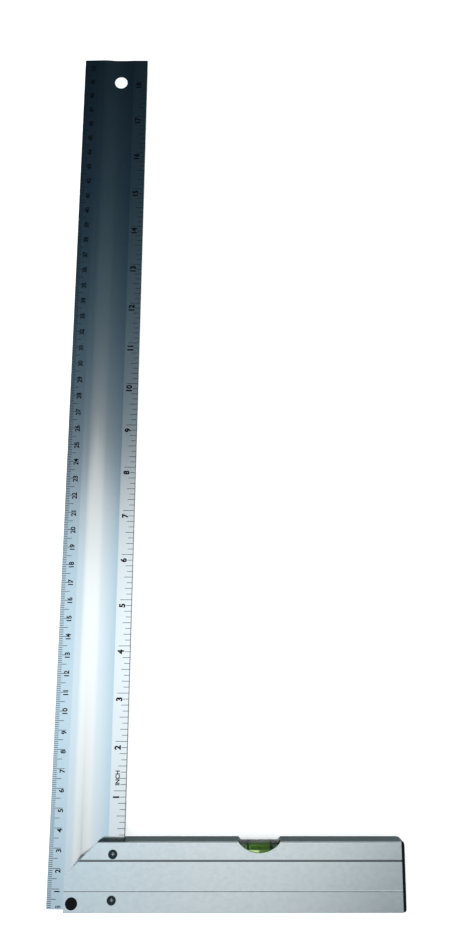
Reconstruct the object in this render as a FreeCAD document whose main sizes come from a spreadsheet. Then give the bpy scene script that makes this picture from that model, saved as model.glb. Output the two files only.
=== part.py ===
import FreeCAD
import Part
import Sketcher
import math
import os

# Aluminium square: a flat ruler blade held in a hollow extruded stock with a level vial.
# X runs along the stock, Y along the blade and Z up through the thickness.
# The origin lies on the back of the stock, where the centre lines of blade and stock cross.

DIMENSIONS = [
    # Stock, a rectangular tube with a mitred corner
    ("stock_height", 34.4),
    ("stock_thickness", 18.0),
    ("stock_wall", 2.0),
    ("stock_corner", 0.5),
    ("stock_reach", 165.1),
    ("stock_overhang", 9.7),
    ("mitre_leg", 16.5),
    ("mitre_break", 0.3),
    # Lines drawn along the two broad faces, measured from the working face
    ("groove_offset", 9.2),
    ("groove_width", 1.0),
    ("groove_depth", 0.7),
    ("line_offset", 23.9),
    ("line_width", 0.6),
    ("line_depth", 0.2),
    # Scoop in the working face, through which the vial is read
    ("scoop_radius", 14.2),
    ("scoop_depth", 5.5),
    ("scoop_break", 0.4),
    ("vial_offset", 91.2),
    # Blade, thickest at the ridge beside the metric edge
    ("blade_length", 505.7),
    ("blade_width", 40.0),
    ("metric_edge_thickness", 2.7),
    ("ridge_thickness", 3.0),
    ("valley_thickness", 1.9),
    ("inch_band_thickness", 2.25),
    ("metric_band_width", 8.5),
    ("valley_distance", 22.5),
    ("inch_band_width", 7.8),
    ("edge_break", 0.15),
    ("hang_hole_diameter", 8.0),
    ("hang_hole_from_end", 16.2),
    ("hang_hole_shift", 3.4),
    # Screws and sleeve nuts that clamp the blade between the packers
    ("screw_inset", 5.0),
    ("screw_spacing", 22.2),
    ("screw_head_diameter", 4.6),
    ("screw_head_thickness", 1.1),
    ("screw_diameter", 2.5),
    ("screw_end_gap", 0.6),
    ("recess_length", 2.6),
    ("recess_width", 0.6),
    ("recess_depth", 0.6),
    ("nut_head_diameter", 5.6),
    ("nut_head_thickness", 1.1),
    ("nut_diameter", 3.8),
    ("nut_floor", 1.4),
    ("thread_clearance", 0.05),
    # Plug that closes the hole beside the outer corner
    ("plug_shift", 5.6),
    ("plug_from_edge", 4.53),
    ("plug_head_diameter", 6.1),
    ("plug_head_thickness", 1.1),
    ("plug_shank_diameter", 3.2),
    ("plug_length", 5.0),
    # Packers between the blade and the walls of the stock
    ("packer_overlap", 2.0),
    ("packer_inset", 0.3),
    # Vial with its liquid, bubble, marker rings and cradle
    ("vial_diameter", 10.8),
    ("vial_length", 21.0),
    ("vial_inset", 0.1),
    ("seat_clearance", 0.05),
    ("cavity_diameter", 5.8),
    ("cavity_length", 12.6),
    ("cavity_crown", 0.15),
    ("liquid_clearance", 0.02),
    ("bubble_length", 10.4),
    ("bubble_width", 3.4),
    ("bubble_depth", 0.9),
    ("ring_spacing", 11.8),
    ("ring_width", 0.5),
    ("ring_depth", 0.2),
    ("cradle_floor", 3.0),
    ("cradle_cheek", 3.0),
    ("cradle_lip", 3.4),
    # Cap that closes the far end of the stock
    ("cap_flange", 1.8),
    ("cap_corner", 2.0),
    ("cap_round", 1.3),
    ("cap_plug_length", 9.0),
    ("cap_plug_wall", 1.6),
    # Clearances
    ("slot_clearance", 0.1),
    ("fit_clearance", 0.1),
    ("head_sink", 0.1),
    ("hole_clearance", 0.1),
    ("cut_margin", 1.0),
]

doc = FreeCAD.newDocument("AluminiumSquare")


def make_sheet():
    """Write every driving dimension to the spreadsheet, one aliased cell each."""
    cells = doc.addObject("Spreadsheet::Sheet", "Sizes")
    for row, (alias, value) in enumerate(DIMENSIONS, start=1):
        cells.set("A%d" % row, alias.replace("_", " "))
        cells.set("B%d" % row, str(value))
        cells.setAlias("B%d" % row, alias)
    doc.recompute()
    return cells


sizes = make_sheet()


def bound(formula):
    """Return an expression in which each {alias} is a cell of the sheet."""
    return formula.replace("{", "Sizes.").replace("}", "")


def value_of(formula):
    """Work out an expression with the sheet's present values."""
    result = sizes.evalExpression(bound(formula))
    return float(getattr(result, "Value", result))


# Places that several pieces share
WORKING_FACE = "({stock_height} / 2)"
MID_PLANE = "({stock_thickness} / 2)"
STOCK_LEFT = "(-{stock_overhang})"
CAVITY_HALF = "({stock_height} / 2 - {stock_wall})"
CAVITY_TOP = "({stock_thickness} - {stock_wall})"
BLADE_HALF = "({blade_width} / 2)"
BLADE_END = "({blade_length} - {stock_height} / 2)"
BLADE_BACK = "({stock_thickness} / 2 - {ridge_thickness} / 2)"
BLADE_RIDGE = "({stock_thickness} / 2 + {ridge_thickness} / 2)"
SCREW_BORE = "({screw_diameter} + 2 * {hole_clearance})"
SCREW_X = "({blade_width} / 2 - {screw_inset})"
SCREW_PLACES = {"upper": "({screw_spacing} / 2)", "lower": "(-{screw_spacing} / 2)"}
PLUG_X = "(-{plug_shift})"
PLUG_Y = "({plug_from_edge} - {stock_height} / 2)"
VIAL_RADIUS = "({vial_diameter} / 2)"
VIAL_AXIS = "({stock_height} / 2 - {vial_inset} - {vial_diameter} / 2)"
BUBBLE_EDGE = "sqrt(({cavity_diameter} / 2) ^ 2 - ({bubble_width} / 2) ^ 2)"
BUBBLE_SAG = "(" + BUBBLE_EDGE + " - {cavity_diameter} / 2 + {bubble_depth})"
BUBBLE_RADIUS = "((({bubble_width} / 2) ^ 2 + " + BUBBLE_SAG + " ^ 2) / (2 * " + BUBBLE_SAG + "))"
BUBBLE_AXIS = "({cavity_diameter} / 2 - {bubble_depth} + " + BUBBLE_RADIUS + ")"


def new_body(name, x="0", y="0", z="0"):
    """Add an empty body for one piece, its place bound to the sheet."""
    body = doc.addObject("PartDesign::Body", name)
    body.Label = name
    for axis, formula in zip("xyz", (x, y, z)):
        body.setExpression("Placement.Base." + axis, bound(formula))
    return body


def sketch_on(body, name, role, lift="0", shift="0", rise="0"):
    """Attach a new sketch to one of the body's own origin planes.

    It is lifted off the plane, shifted along the sketch's x and raised along its y.
    """
    sketch = body.newObject("Sketcher::SketchObject", name)
    support = [f for f in body.Origin.OriginFeatures if f.Role == role][0]
    sketch.AttachmentSupport = [(support, "")]
    sketch.MapMode = "FlatFace"
    sketch.setExpression("AttachmentOffset.Base.x", bound(shift))
    sketch.setExpression("AttachmentOffset.Base.y", bound(rise))
    sketch.setExpression("AttachmentOffset.Base.z", bound(lift))
    return sketch


def drive(sketch, kind, formula, *where):
    """Add one dimension to a sketch and bind it to the sheet."""
    index = sketch.addConstraint(Sketcher.Constraint(kind, *where, value_of(formula)))
    sketch.setExpression("Constraints[%d]" % index, bound(formula))


def pin_point(sketch, geometry, position, x, y):
    """Fix one point of a sketch by its two distances from the sketch's origin."""
    drive(sketch, "DistanceX", x, -1, 1, geometry, position)
    drive(sketch, "DistanceY", y, -1, 1, geometry, position)


def draw_outline(sketch, corners):
    """Draw a closed outline of straight sides, and of arcs where a corner asks for one.

    A corner is (x, y). With a third and a fourth entry, the side that follows it is an
    arc: the third is the x of its centre, the fourth its way round, "ccw" or "cw".
    """
    first = sketch.GeometryCount
    points = [FreeCAD.Vector(value_of(c[0]), value_of(c[1]), 0) for c in corners]
    starts = []
    for i, corner in enumerate(corners):
        a = points[i]
        b = points[(i + 1) % len(points)]
        starts.append(2 if corner[-1] == "cw" else 1)
        if len(corner) == 2:
            sketch.addGeometry(Part.LineSegment(a, b), False)
            continue
        cx = value_of(corner[2])
        cy = (b.Length ** 2 - a.Length ** 2 - 2 * cx * (b.x - a.x)) / (2 * (b.y - a.y))
        centre = FreeCAD.Vector(cx, cy, 0)
        circle = Part.Circle(centre, FreeCAD.Vector(0, 0, 1), a.distanceToPoint(centre))
        ends = (a, b) if corner[3] == "ccw" else (b, a)
        angles = [math.atan2(p.y - cy, p.x - cx) for p in ends]
        sketch.addGeometry(Part.ArcOfCircle(circle, *angles), False)
    for i in range(len(corners)):
        after = (i + 1) % len(corners)
        ends_at = 3 - starts[i]
        sketch.addConstraint(
            Sketcher.Constraint("Coincident", first + i, ends_at, first + after, starts[after]))
    for i, corner in enumerate(corners):
        pin_point(sketch, first + i, starts[i], corner[0], corner[1])
        if len(corner) > 2:
            drive(sketch, "DistanceX", corner[2], -1, 1, first + i, 3)


def draw_box(sketch, x_low, x_high, y_low, y_high):
    """Draw a rectangle between four bound sides."""
    draw_outline(sketch, [(x_low, y_low), (x_high, y_low), (x_high, y_high), (x_low, y_high)])


def draw_circle(sketch, x, y, diameter):
    """Draw a circle with a bound centre and diameter."""
    centre = FreeCAD.Vector(value_of(x), value_of(y), 0)
    circle = Part.Circle(centre, FreeCAD.Vector(0, 0, 1), value_of(diameter) / 2)
    index = sketch.addGeometry(circle, False)
    pin_point(sketch, index, 3, x, y)
    drive(sketch, "Diameter", diameter, index)


def pad(body, name, sketch, length, flipped=False, centred=False):
    """Extrude a sketch into solid material."""
    feature = body.newObject("PartDesign::Pad", name)
    feature.Profile = sketch
    feature.setExpression("Length", bound(length))
    feature.Reversed = flipped
    feature.Midplane = centred
    doc.recompute()


def pocket(body, name, sketch, depth=None, flipped=False, centred=False):
    """Cut a sketch out of the solid, to a depth or right through, and check that it cuts."""
    before = body.Shape.Volume
    feature = body.newObject("PartDesign::Pocket", name)
    feature.Profile = sketch
    if depth is None:
        feature.Type = "ThroughAll"
    else:
        feature.setExpression("Length", bound(depth))
    feature.Reversed = flipped
    feature.Midplane = centred
    doc.recompute()
    if not body.Shape.Volume < before:
        raise RuntimeError(name + " cuts nothing")


def turn(body, kind, name, sketch, axis):
    """Turn a sketch a full circle about one of its own axes, to add or to cut."""
    before = body.Shape.Volume if kind == "Groove" else 0
    feature = body.newObject("PartDesign::" + kind, name)
    feature.Profile = sketch
    feature.ReferenceAxis = (sketch, [axis])
    feature.Angle = 360
    doc.recompute()
    if kind == "Groove" and not body.Shape.Volume < before:
        raise RuntimeError(name + " cuts nothing")


def dress(body, kind, name, size, accept):
    """Round or bevel every edge that a test accepts, in the body's own coordinates."""
    tip = body.Tip
    names = ["Edge%d" % (i + 1) for i, edge in enumerate(tip.Shape.Edges) if accept(edge)]
    feature = body.newObject("PartDesign::" + kind, name)
    feature.Base = (tip, names)
    feature.setExpression("Radius" if kind == "Fillet" else "Size", bound(size))
    doc.recompute()


def runs_along(edge, direction):
    """Say whether an edge is straight and lies along a direction."""
    if not isinstance(edge.Curve, Part.Line):
        return False
    return edge.tangentAt(edge.FirstParameter).cross(direction).Length < 1e-6


def near(a, b):
    """Say whether two lengths are the same."""
    return abs(a - b) < 1e-4


def drill(body, name, places, diameter, height, depth=None, flipped=False):
    """Cut round holes of one size at several places."""
    sketch = sketch_on(body, name + "_sketch", "XY_Plane", height)
    for x, y in places:
        draw_circle(sketch, x, y, diameter)
    pocket(body, name, sketch, depth, flipped)


def cut_mitre(body, name, leg):
    """Cut off the corner of the stock beside the blade at 45 degrees."""
    sketch = sketch_on(body, name + "_sketch", "XY_Plane", "{stock_thickness}")
    left = STOCK_LEFT + " - {cut_margin}"
    high = WORKING_FACE + " + {cut_margin}"
    draw_outline(sketch, [
        (left, high),
        (left, WORKING_FACE + " - " + leg + " - {cut_margin}"),
        (STOCK_LEFT + " + " + leg + " + {cut_margin}", high),
    ])
    pocket(body, name, sketch)


SCREW_CENTRES = [(SCREW_X, y) for y in SCREW_PLACES.values()]


def make_stock():
    """Extrude the tube with its drawn lines, then mitre, slot, scoop and drill it."""
    body = new_body("stock")
    profile = sketch_on(body, "stock_profile", "YZ_Plane", STOCK_LEFT)
    low = "(-{stock_height} / 2)"
    groove = WORKING_FACE + " - {groove_offset}"
    line = WORKING_FACE + " - {line_offset}"

    def drawn_lines(level, inward):
        """Return the corners of both lines on one broad face, from the outer side inwards."""
        return [
            (line + " - {line_width} / 2", level),
            (line, level + inward + "{line_depth}"),
            (line + " + {line_width} / 2", level),
            (groove + " - {groove_width} / 2", level),
            (groove + " - {groove_width} / 2", level + inward + "{groove_depth}"),
            (groove + " + {groove_width} / 2", level + inward + "{groove_depth}"),
            (groove + " + {groove_width} / 2", level),
        ]

    back = drawn_lines("0", " + ")
    front = drawn_lines("{stock_thickness}", " - ")
    draw_outline(profile, [(low, "0")] + back + [
        (WORKING_FACE, "0"), (WORKING_FACE, "{stock_thickness}")] + front[::-1] + [
        (low, "{stock_thickness}")])
    draw_box(profile, "(-" + CAVITY_HALF + ")", CAVITY_HALF, "{stock_wall}", CAVITY_TOP)
    pad(body, "tube", profile, "{stock_reach} + {stock_overhang}")

    half = value_of(WORKING_FACE)
    top = value_of("{stock_thickness}")
    along_x = FreeCAD.Vector(1, 0, 0)
    dress(body, "Fillet", "rounded_corners", "{stock_corner}", lambda edge: (
        runs_along(edge, along_x)
        and near(abs(edge.CenterOfMass.y), half)
        and (near(edge.CenterOfMass.z, 0) or near(edge.CenterOfMass.z, top))))

    cut_mitre(body, "mitre", "{mitre_leg}")
    mitred = FreeCAD.Vector(1, 1, 0)
    dress(body, "Chamfer", "mitre_edges", "{mitre_break}", lambda edge: (
        runs_along(edge, mitred.normalize())
        and (near(edge.CenterOfMass.z, 0) or near(edge.CenterOfMass.z, top))))

    slot = sketch_on(body, "slot_sketch", "XZ_Plane", "-" + WORKING_FACE)
    draw_box(
        slot, STOCK_LEFT + " - {cut_margin}", BLADE_HALF + " + {slot_clearance}",
        BLADE_BACK + " - {slot_clearance}", BLADE_RIDGE + " + {slot_clearance}")
    pocket(body, "blade_slot", slot, flipped=True)

    scoop = sketch_on(
        body, "scoop_sketch", "XZ_Plane",
        "-(" + WORKING_FACE + " - {scoop_depth} + {scoop_radius})", "{vial_offset}")
    wide = "{scoop_radius} + {scoop_break} + {cut_margin}"
    draw_outline(scoop, [
        ("0", "-{cut_margin}"),
        (wide, "-{cut_margin}"),
        ("{scoop_radius}", "{scoop_break}"),
        ("{scoop_radius}", "{stock_thickness} - {scoop_break}"),
        (wide, "{stock_thickness} + {cut_margin}"),
        ("0", "{stock_thickness} + {cut_margin}"),
    ])
    turn(body, "Groove", "scoop", scoop, "V_Axis")

    seat = sketch_on(body, "vial_seat_sketch", "YZ_Plane", "{vial_offset}")
    draw_circle(seat, VIAL_AXIS, MID_PLANE, "{vial_diameter} + 2 * {seat_clearance}")
    pocket(body, "vial_seat", seat, "{vial_length} + 2 * {fit_clearance}", centred=True)

    drill(body, "screw_holes", SCREW_CENTRES, SCREW_BORE, "{stock_thickness}")
    drill(
        body, "screw_head_seats", SCREW_CENTRES, "{screw_head_diameter} + 2 * {hole_clearance}",
        "{stock_thickness}", "{screw_head_thickness} + {head_sink}")
    drill(
        body, "nut_holes", SCREW_CENTRES, "{nut_diameter} + 2 * {hole_clearance}",
        "0", "{stock_wall}", flipped=True)
    drill(
        body, "nut_head_seats", SCREW_CENTRES, "{nut_head_diameter} + 2 * {hole_clearance}",
        "0", "{nut_head_thickness} + {head_sink}", flipped=True)
    drill(
        body, "plug_hole", [(PLUG_X, PLUG_Y)], "{plug_shank_diameter} + 2 * {hole_clearance}",
        "{stock_thickness}", "{stock_wall}")
    drill(
        body, "plug_head_seat", [(PLUG_X, PLUG_Y)], "{plug_head_diameter} + 2 * {hole_clearance}",
        "{stock_thickness}", "{plug_head_thickness} + {head_sink}")
    return body


def make_blade():
    """Extrude the blade's section: metric bevel, ridge, hollowed middle and flat inch band."""
    body = new_body("blade", z=BLADE_BACK)
    profile = sketch_on(body, "blade_profile", "XZ_Plane", WORKING_FACE)
    ridge_x = "({metric_band_width} - {blade_width} / 2)"
    valley_x = "({valley_distance} - {blade_width} / 2)"
    bend_x = "((" + ridge_x + " + " + valley_x + ") / 2)"
    bend_z = "(({ridge_thickness} + {valley_thickness}) / 2)"
    draw_outline(profile, [
        ("-" + BLADE_HALF, "0"),
        (BLADE_HALF, "0"),
        (BLADE_HALF, "{inch_band_thickness}"),
        (BLADE_HALF + " - {inch_band_width}", "{inch_band_thickness}", valley_x, "cw"),
        (valley_x, "{valley_thickness}", valley_x, "cw"),
        (bend_x, bend_z, ridge_x, "ccw"),
        (ridge_x, "{ridge_thickness}"),
        ("-" + BLADE_HALF, "{metric_edge_thickness}"),
    ])
    pad(body, "strip", profile, "{blade_length}", flipped=True)

    half = value_of(BLADE_HALF)
    along_y = FreeCAD.Vector(0, 1, 0)
    dress(body, "Chamfer", "broken_edges", "{edge_break}", lambda edge: (
        runs_along(edge, along_y) and near(abs(edge.CenterOfMass.x), half)))

    drill(
        body, "hang_hole", [("{hang_hole_shift}", BLADE_END + " - {hang_hole_from_end}")],
        "{hang_hole_diameter}", "{ridge_thickness}")
    drill(body, "screw_holes_in_blade", SCREW_CENTRES, SCREW_BORE, "{ridge_thickness}")
    return body


def make_packer(name, low, high):
    """Fill the tube on one side of the blade, from the mitred end to past the inch edge."""
    body = new_body(name)
    profile = sketch_on(body, name + "_profile", "XY_Plane", low)
    half = "(" + CAVITY_HALF + " - {fit_clearance})"
    draw_box(
        profile, STOCK_LEFT + " + {packer_inset}", BLADE_HALF + " + {packer_overlap}",
        "-" + half, half)
    pad(body, name + "_block", profile, high + " - " + low)
    cut_mitre(body, name + "_mitre", "({mitre_leg} + 2 * {packer_inset})")
    return body


def make_packers():
    """Make both packers, drilled for what passes through them."""
    front = make_packer("packer_front", BLADE_RIDGE, CAVITY_TOP)
    drill(front, "front_screw_holes", SCREW_CENTRES, SCREW_BORE, CAVITY_TOP)
    drill(
        front, "front_plug_hole", [(PLUG_X, PLUG_Y)],
        "{plug_shank_diameter} + 2 * {hole_clearance}", CAVITY_TOP,
        "{plug_length} - {stock_wall} + {head_sink} + {fit_clearance}")
    rear = make_packer("packer_rear", "{stock_wall}", BLADE_BACK)
    drill(rear, "rear_nut_holes", SCREW_CENTRES, "{nut_diameter} + 2 * {hole_clearance}", BLADE_BACK)
    return [front, rear]


def make_screw(side):
    """Turn one clamping screw, its head sunk in the front of the stock."""
    name = side + "_screw"
    top = "{stock_thickness} - {head_sink}"
    body = new_body(name, SCREW_X, SCREW_PLACES[side], top)
    profile = sketch_on(body, name + "_profile", "XZ_Plane")
    tip = "-(" + top + " - {nut_floor} - {screw_end_gap})"
    draw_outline(profile, [
        ("0", "0"),
        ("0", tip),
        ("{screw_diameter} / 2", tip),
        ("{screw_diameter} / 2", "-{screw_head_thickness}"),
        ("{screw_head_diameter} / 2", "-{screw_head_thickness}"),
        ("{screw_head_diameter} / 2", "0"),
    ])
    turn(body, "Revolution", name + "_turned", profile, "V_Axis")
    for arm, x, y in (("across", "length", "width"), ("upright", "width", "length")):
        sketch = sketch_on(body, name + "_" + arm + "_sketch", "XY_Plane")
        half_x = "{recess_" + x + "} / 2"
        half_y = "{recess_" + y + "} / 2"
        draw_box(sketch, "-" + half_x, half_x, "-" + half_y, half_y)
        pocket(body, name + "_" + arm, sketch, "{recess_depth}")
    return body


def make_nut(side):
    """Turn one sleeve nut, its head sunk in the back of the stock."""
    name = side + "_nut"
    body = new_body(name, SCREW_X, SCREW_PLACES[side], "{head_sink}")
    profile = sketch_on(body, name + "_profile", "XZ_Plane")
    mouth = BLADE_BACK + " - {head_sink} - {fit_clearance}"
    bore = "{screw_diameter} / 2 + {thread_clearance}"
    floor = "{nut_floor} - {head_sink}"
    draw_outline(profile, [
        ("0", "0"),
        ("{nut_head_diameter} / 2", "0"),
        ("{nut_head_diameter} / 2", "{nut_head_thickness}"),
        ("{nut_diameter} / 2", "{nut_head_thickness}"),
        ("{nut_diameter} / 2", mouth),
        (bore, mouth),
        (bore, floor),
        ("0", floor),
    ])
    turn(body, "Revolution", name + "_turned", profile, "V_Axis")
    return body


def make_corner_plug():
    """Turn the plug that closes the hole beside the outer corner."""
    body = new_body("corner_plug", PLUG_X, PLUG_Y, "{stock_thickness} - {head_sink}")
    profile = sketch_on(body, "corner_plug_profile", "XZ_Plane")
    draw_outline(profile, [
        ("0", "0"),
        ("0", "-{plug_length}"),
        ("{plug_shank_diameter} / 2", "-{plug_length}"),
        ("{plug_shank_diameter} / 2", "-{plug_head_thickness}"),
        ("{plug_head_diameter} / 2", "-{plug_head_thickness}"),
        ("{plug_head_diameter} / 2", "0"),
    ])
    turn(body, "Revolution", "corner_plug_turned", profile, "V_Axis")
    return body


def vial_body(name):
    """Add an empty body whose own X axis is the axis of the vial."""
    return new_body(name, "{vial_offset}", VIAL_AXIS, MID_PLANE)


def make_barrel():
    """Turn the clear barrel with its ring grooves and its crowned bore, open at one end."""
    body = vial_body("vial_barrel")
    profile = sketch_on(body, "vial_barrel_profile", "XY_Plane")
    end = "{vial_length} / 2"
    bore = "{cavity_diameter} / 2"
    floor = "{cavity_length} / 2"
    groove = "(" + VIAL_RADIUS + " - {ring_depth})"
    inner = "({ring_spacing} / 2 - {ring_width} / 2)"
    outer = "({ring_spacing} / 2 + {ring_width} / 2)"
    draw_outline(profile, [
        ("-" + end, "0"),
        ("-" + floor, "0"),
        ("-" + floor, bore + " - {cavity_crown}"),
        ("0", bore),
        (floor, bore + " - {cavity_crown}"),
        (end, bore + " - {cavity_crown}"),
        (end, VIAL_RADIUS),
        (outer, VIAL_RADIUS),
        (outer, groove),
        (inner, groove),
        (inner, VIAL_RADIUS),
        ("-" + inner, VIAL_RADIUS),
        ("-" + inner, groove),
        ("-" + outer, groove),
        ("-" + outer, VIAL_RADIUS),
        ("-" + end, VIAL_RADIUS),
    ])
    turn(body, "Revolution", "vial_barrel_turned", profile, "H_Axis")
    return body


def make_liquid():
    """Turn the liquid that fills the bore and hollow out its bubble on the front side."""
    body = vial_body("vial_liquid")
    profile = sketch_on(body, "vial_liquid_profile", "XY_Plane")
    end = "({cavity_length} / 2 - {liquid_clearance})"
    radius = "({cavity_diameter} / 2 - {liquid_clearance})"
    draw_outline(profile, [
        ("-" + end, "0"),
        (end, "0"),
        (end, radius + " - {cavity_crown}"),
        ("0", radius),
        ("-" + end, radius + " - {cavity_crown}"),
    ])
    turn(body, "Revolution", "vial_liquid_turned", profile, "H_Axis")

    bubble = sketch_on(body, "bubble_sketch", "XZ_Plane", rise=BUBBLE_AXIS)
    shore = "-(" + BUBBLE_AXIS + " - {cavity_diameter} / 2)"
    draw_outline(bubble, [
        ("-{bubble_length} / 2", shore, "0", "ccw"),
        ("0", "-" + BUBBLE_RADIUS, "0", "ccw"),
        ("{bubble_length} / 2", shore),
        ("{bubble_length} / 2", "0"),
        ("-{bubble_length} / 2", "0"),
    ])
    turn(body, "Groove", "bubble", bubble, "H_Axis")
    return body


def make_vial_plug():
    """Turn the plug that seals the open end of the bore."""
    body = vial_body("vial_plug")
    profile = sketch_on(body, "vial_plug_profile", "XY_Plane")
    radius = "({cavity_diameter} / 2 - {cavity_crown} - {liquid_clearance})"
    inner = "{cavity_length} / 2"
    outer = "{vial_length} / 2"
    draw_box(profile, inner, outer, "0", radius)
    turn(body, "Revolution", "vial_plug_turned", profile, "H_Axis")
    return body


def make_ring(side, sign):
    """Turn one marker ring, seated in its groove on the barrel."""
    name = "vial_ring_" + side
    body = new_body(
        name, "{vial_offset} " + sign + " {ring_spacing} / 2", VIAL_AXIS, MID_PLANE)
    profile = sketch_on(body, name + "_profile", "XY_Plane")
    half = "({ring_width} / 2 - {liquid_clearance})"
    draw_box(profile, "-" + half, half, VIAL_RADIUS + " - {ring_depth}", VIAL_RADIUS)
    turn(body, "Revolution", name + "_turned", profile, "H_Axis")
    return body


def make_cradle():
    """Make the block that holds the barrel in a trough between two end cheeks."""
    body = vial_body("vial_holder")
    profile = sketch_on(body, "vial_holder_profile", "YZ_Plane")
    half_depth = "(" + MID_PLANE + " - {stock_wall} - {fit_clearance})"
    top = "(" + CAVITY_HALF + " - " + VIAL_AXIS + " - {fit_clearance})"
    seat = "({vial_length} + 2 * {fit_clearance})"
    draw_box(profile, "-(" + VIAL_RADIUS + " + {cradle_floor})", top, "-" + half_depth, half_depth)
    pad(body, "vial_holder_block", profile, seat + " + 2 * {cradle_cheek}", centred=True)

    window = sketch_on(body, "window_sketch", "YZ_Plane")
    wide = half_depth + " + {cut_margin}"
    draw_box(window, "-{cradle_lip}", top + " + {cut_margin}", "-(" + wide + ")", wide)
    pocket(body, "vial_window", window, seat, centred=True)

    trough = sketch_on(body, "trough_sketch", "YZ_Plane")
    draw_circle(trough, "0", "0", "{vial_diameter} + 2 * {fit_clearance}")
    pocket(body, "vial_trough", trough, seat, centred=True)
    return body


def make_end_cap():
    """Make the cap: a rounded flange on the end of the tube and a hollow plug inside it."""
    body = new_body("end_cap", "{stock_reach}", "0", MID_PLANE)
    half_height = WORKING_FACE
    half_depth = MID_PLANE
    flange = sketch_on(body, "flange_sketch", "YZ_Plane")
    draw_box(flange, "-" + half_height, half_height, "-" + half_depth, half_depth)
    pad(body, "flange", flange, "{cap_flange}")

    along_x = FreeCAD.Vector(1, 0, 0)
    outer_x = value_of("{cap_flange}")
    dress(body, "Fillet", "flange_corners", "{cap_corner}", lambda edge: (
        runs_along(edge, along_x)))
    dress(body, "Fillet", "flange_round", "{cap_round}", lambda edge: (
        near(edge.CenterOfMass.x, outer_x)))

    plug = sketch_on(body, "cap_plug_sketch", "YZ_Plane")
    plug_height = "(" + CAVITY_HALF + " - {fit_clearance})"
    plug_depth = "(" + MID_PLANE + " - {stock_wall} - {fit_clearance})"
    draw_box(plug, "-" + plug_height, plug_height, "-" + plug_depth, plug_depth)
    draw_box(
        plug, "-(" + plug_height + " - {cap_plug_wall})", plug_height + " - {cap_plug_wall}",
        "-(" + plug_depth + " - {cap_plug_wall})", plug_depth + " - {cap_plug_wall}")
    pad(body, "cap_plug", plug, "{cap_plug_length}", flipped=True)
    return body


def check_pieces(pieces):
    """Stop if any feature failed or any piece is not one sound solid."""
    for item in doc.Objects:
        if "Invalid" in item.State or "Error" in item.State:
            raise RuntimeError(item.Name + " failed")
    for piece in pieces:
        shape = piece.Shape
        if shape.isNull() or not shape.isValid() or len(shape.Solids) != 1:
            raise RuntimeError(piece.Label + " is not one sound solid")


def main():
    """Make every piece, check them and write one file for each."""
    pieces = [make_stock(), make_blade(), make_end_cap()]
    pieces += make_packers()
    for side in SCREW_PLACES:
        pieces += [make_screw(side), make_nut(side)]
    pieces += [make_corner_plug(), make_barrel(), make_liquid(), make_vial_plug()]
    pieces += [make_ring("left", "-"), make_ring("right", "+"), make_cradle()]
    doc.recompute()
    check_pieces(pieces)
    os.makedirs("parts", exist_ok=True)
    for piece in pieces:
        piece.Shape.exportStep("parts/" + piece.Label + ".step")
        box = piece.Shape.BoundBox
        print("%-15s %8.1f mm3  x %7.2f %7.2f  y %7.2f %7.2f  z %6.2f %6.2f" % (
            piece.Label, piece.Shape.Volume, box.XMin, box.XMax, box.YMin, box.YMax,
            box.ZMin, box.ZMax))


main()
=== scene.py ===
import logging
import math
from dataclasses import dataclass, field
from enum import Enum

import bmesh
import bpy
from mathutils import Matrix, Vector


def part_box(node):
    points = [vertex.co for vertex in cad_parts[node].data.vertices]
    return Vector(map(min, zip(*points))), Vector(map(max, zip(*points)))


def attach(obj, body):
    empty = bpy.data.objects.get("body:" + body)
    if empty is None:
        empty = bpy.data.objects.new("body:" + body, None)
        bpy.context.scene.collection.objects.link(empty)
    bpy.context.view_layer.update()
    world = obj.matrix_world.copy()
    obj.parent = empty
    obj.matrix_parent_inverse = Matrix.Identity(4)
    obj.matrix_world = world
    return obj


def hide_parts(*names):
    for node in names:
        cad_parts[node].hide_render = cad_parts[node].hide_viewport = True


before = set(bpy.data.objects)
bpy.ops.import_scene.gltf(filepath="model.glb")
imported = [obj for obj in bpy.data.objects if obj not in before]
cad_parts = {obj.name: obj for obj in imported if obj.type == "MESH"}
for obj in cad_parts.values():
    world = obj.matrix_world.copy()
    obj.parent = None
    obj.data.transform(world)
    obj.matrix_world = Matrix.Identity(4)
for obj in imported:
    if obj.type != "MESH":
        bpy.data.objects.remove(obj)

# Looks of the aluminium square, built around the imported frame. Lengths are in metres.
# X runs along the stock, Y along the blade, Z out of the ruled face.

log = logging.getLogger("square")

MM = 0.001
BODY = "root"
INCH = 25.4 * MM
SHARP_ANGLE = math.radians(15)
RIM_ANGLE = math.radians(60)
PRINT_MERGE = 0.0005 * MM
SPIN_MERGE = 0.001 * MM
CAPITAL_SHARE = 0.73
WHITE = (1.0, 1.0, 1.0)
BLACK = (0.0, 0.0, 0.0)

Colour = tuple[float, float, float]
Socket = bpy.types.NodeSocket
Node = bpy.types.Node
Piece = bpy.types.Object
Shape = bmesh.types.BMesh


class Grain(Enum):
    """The way a metal's fine lines run."""

    ALONG_X = "along the stock"
    ALONG_Y = "along the blade"


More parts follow.
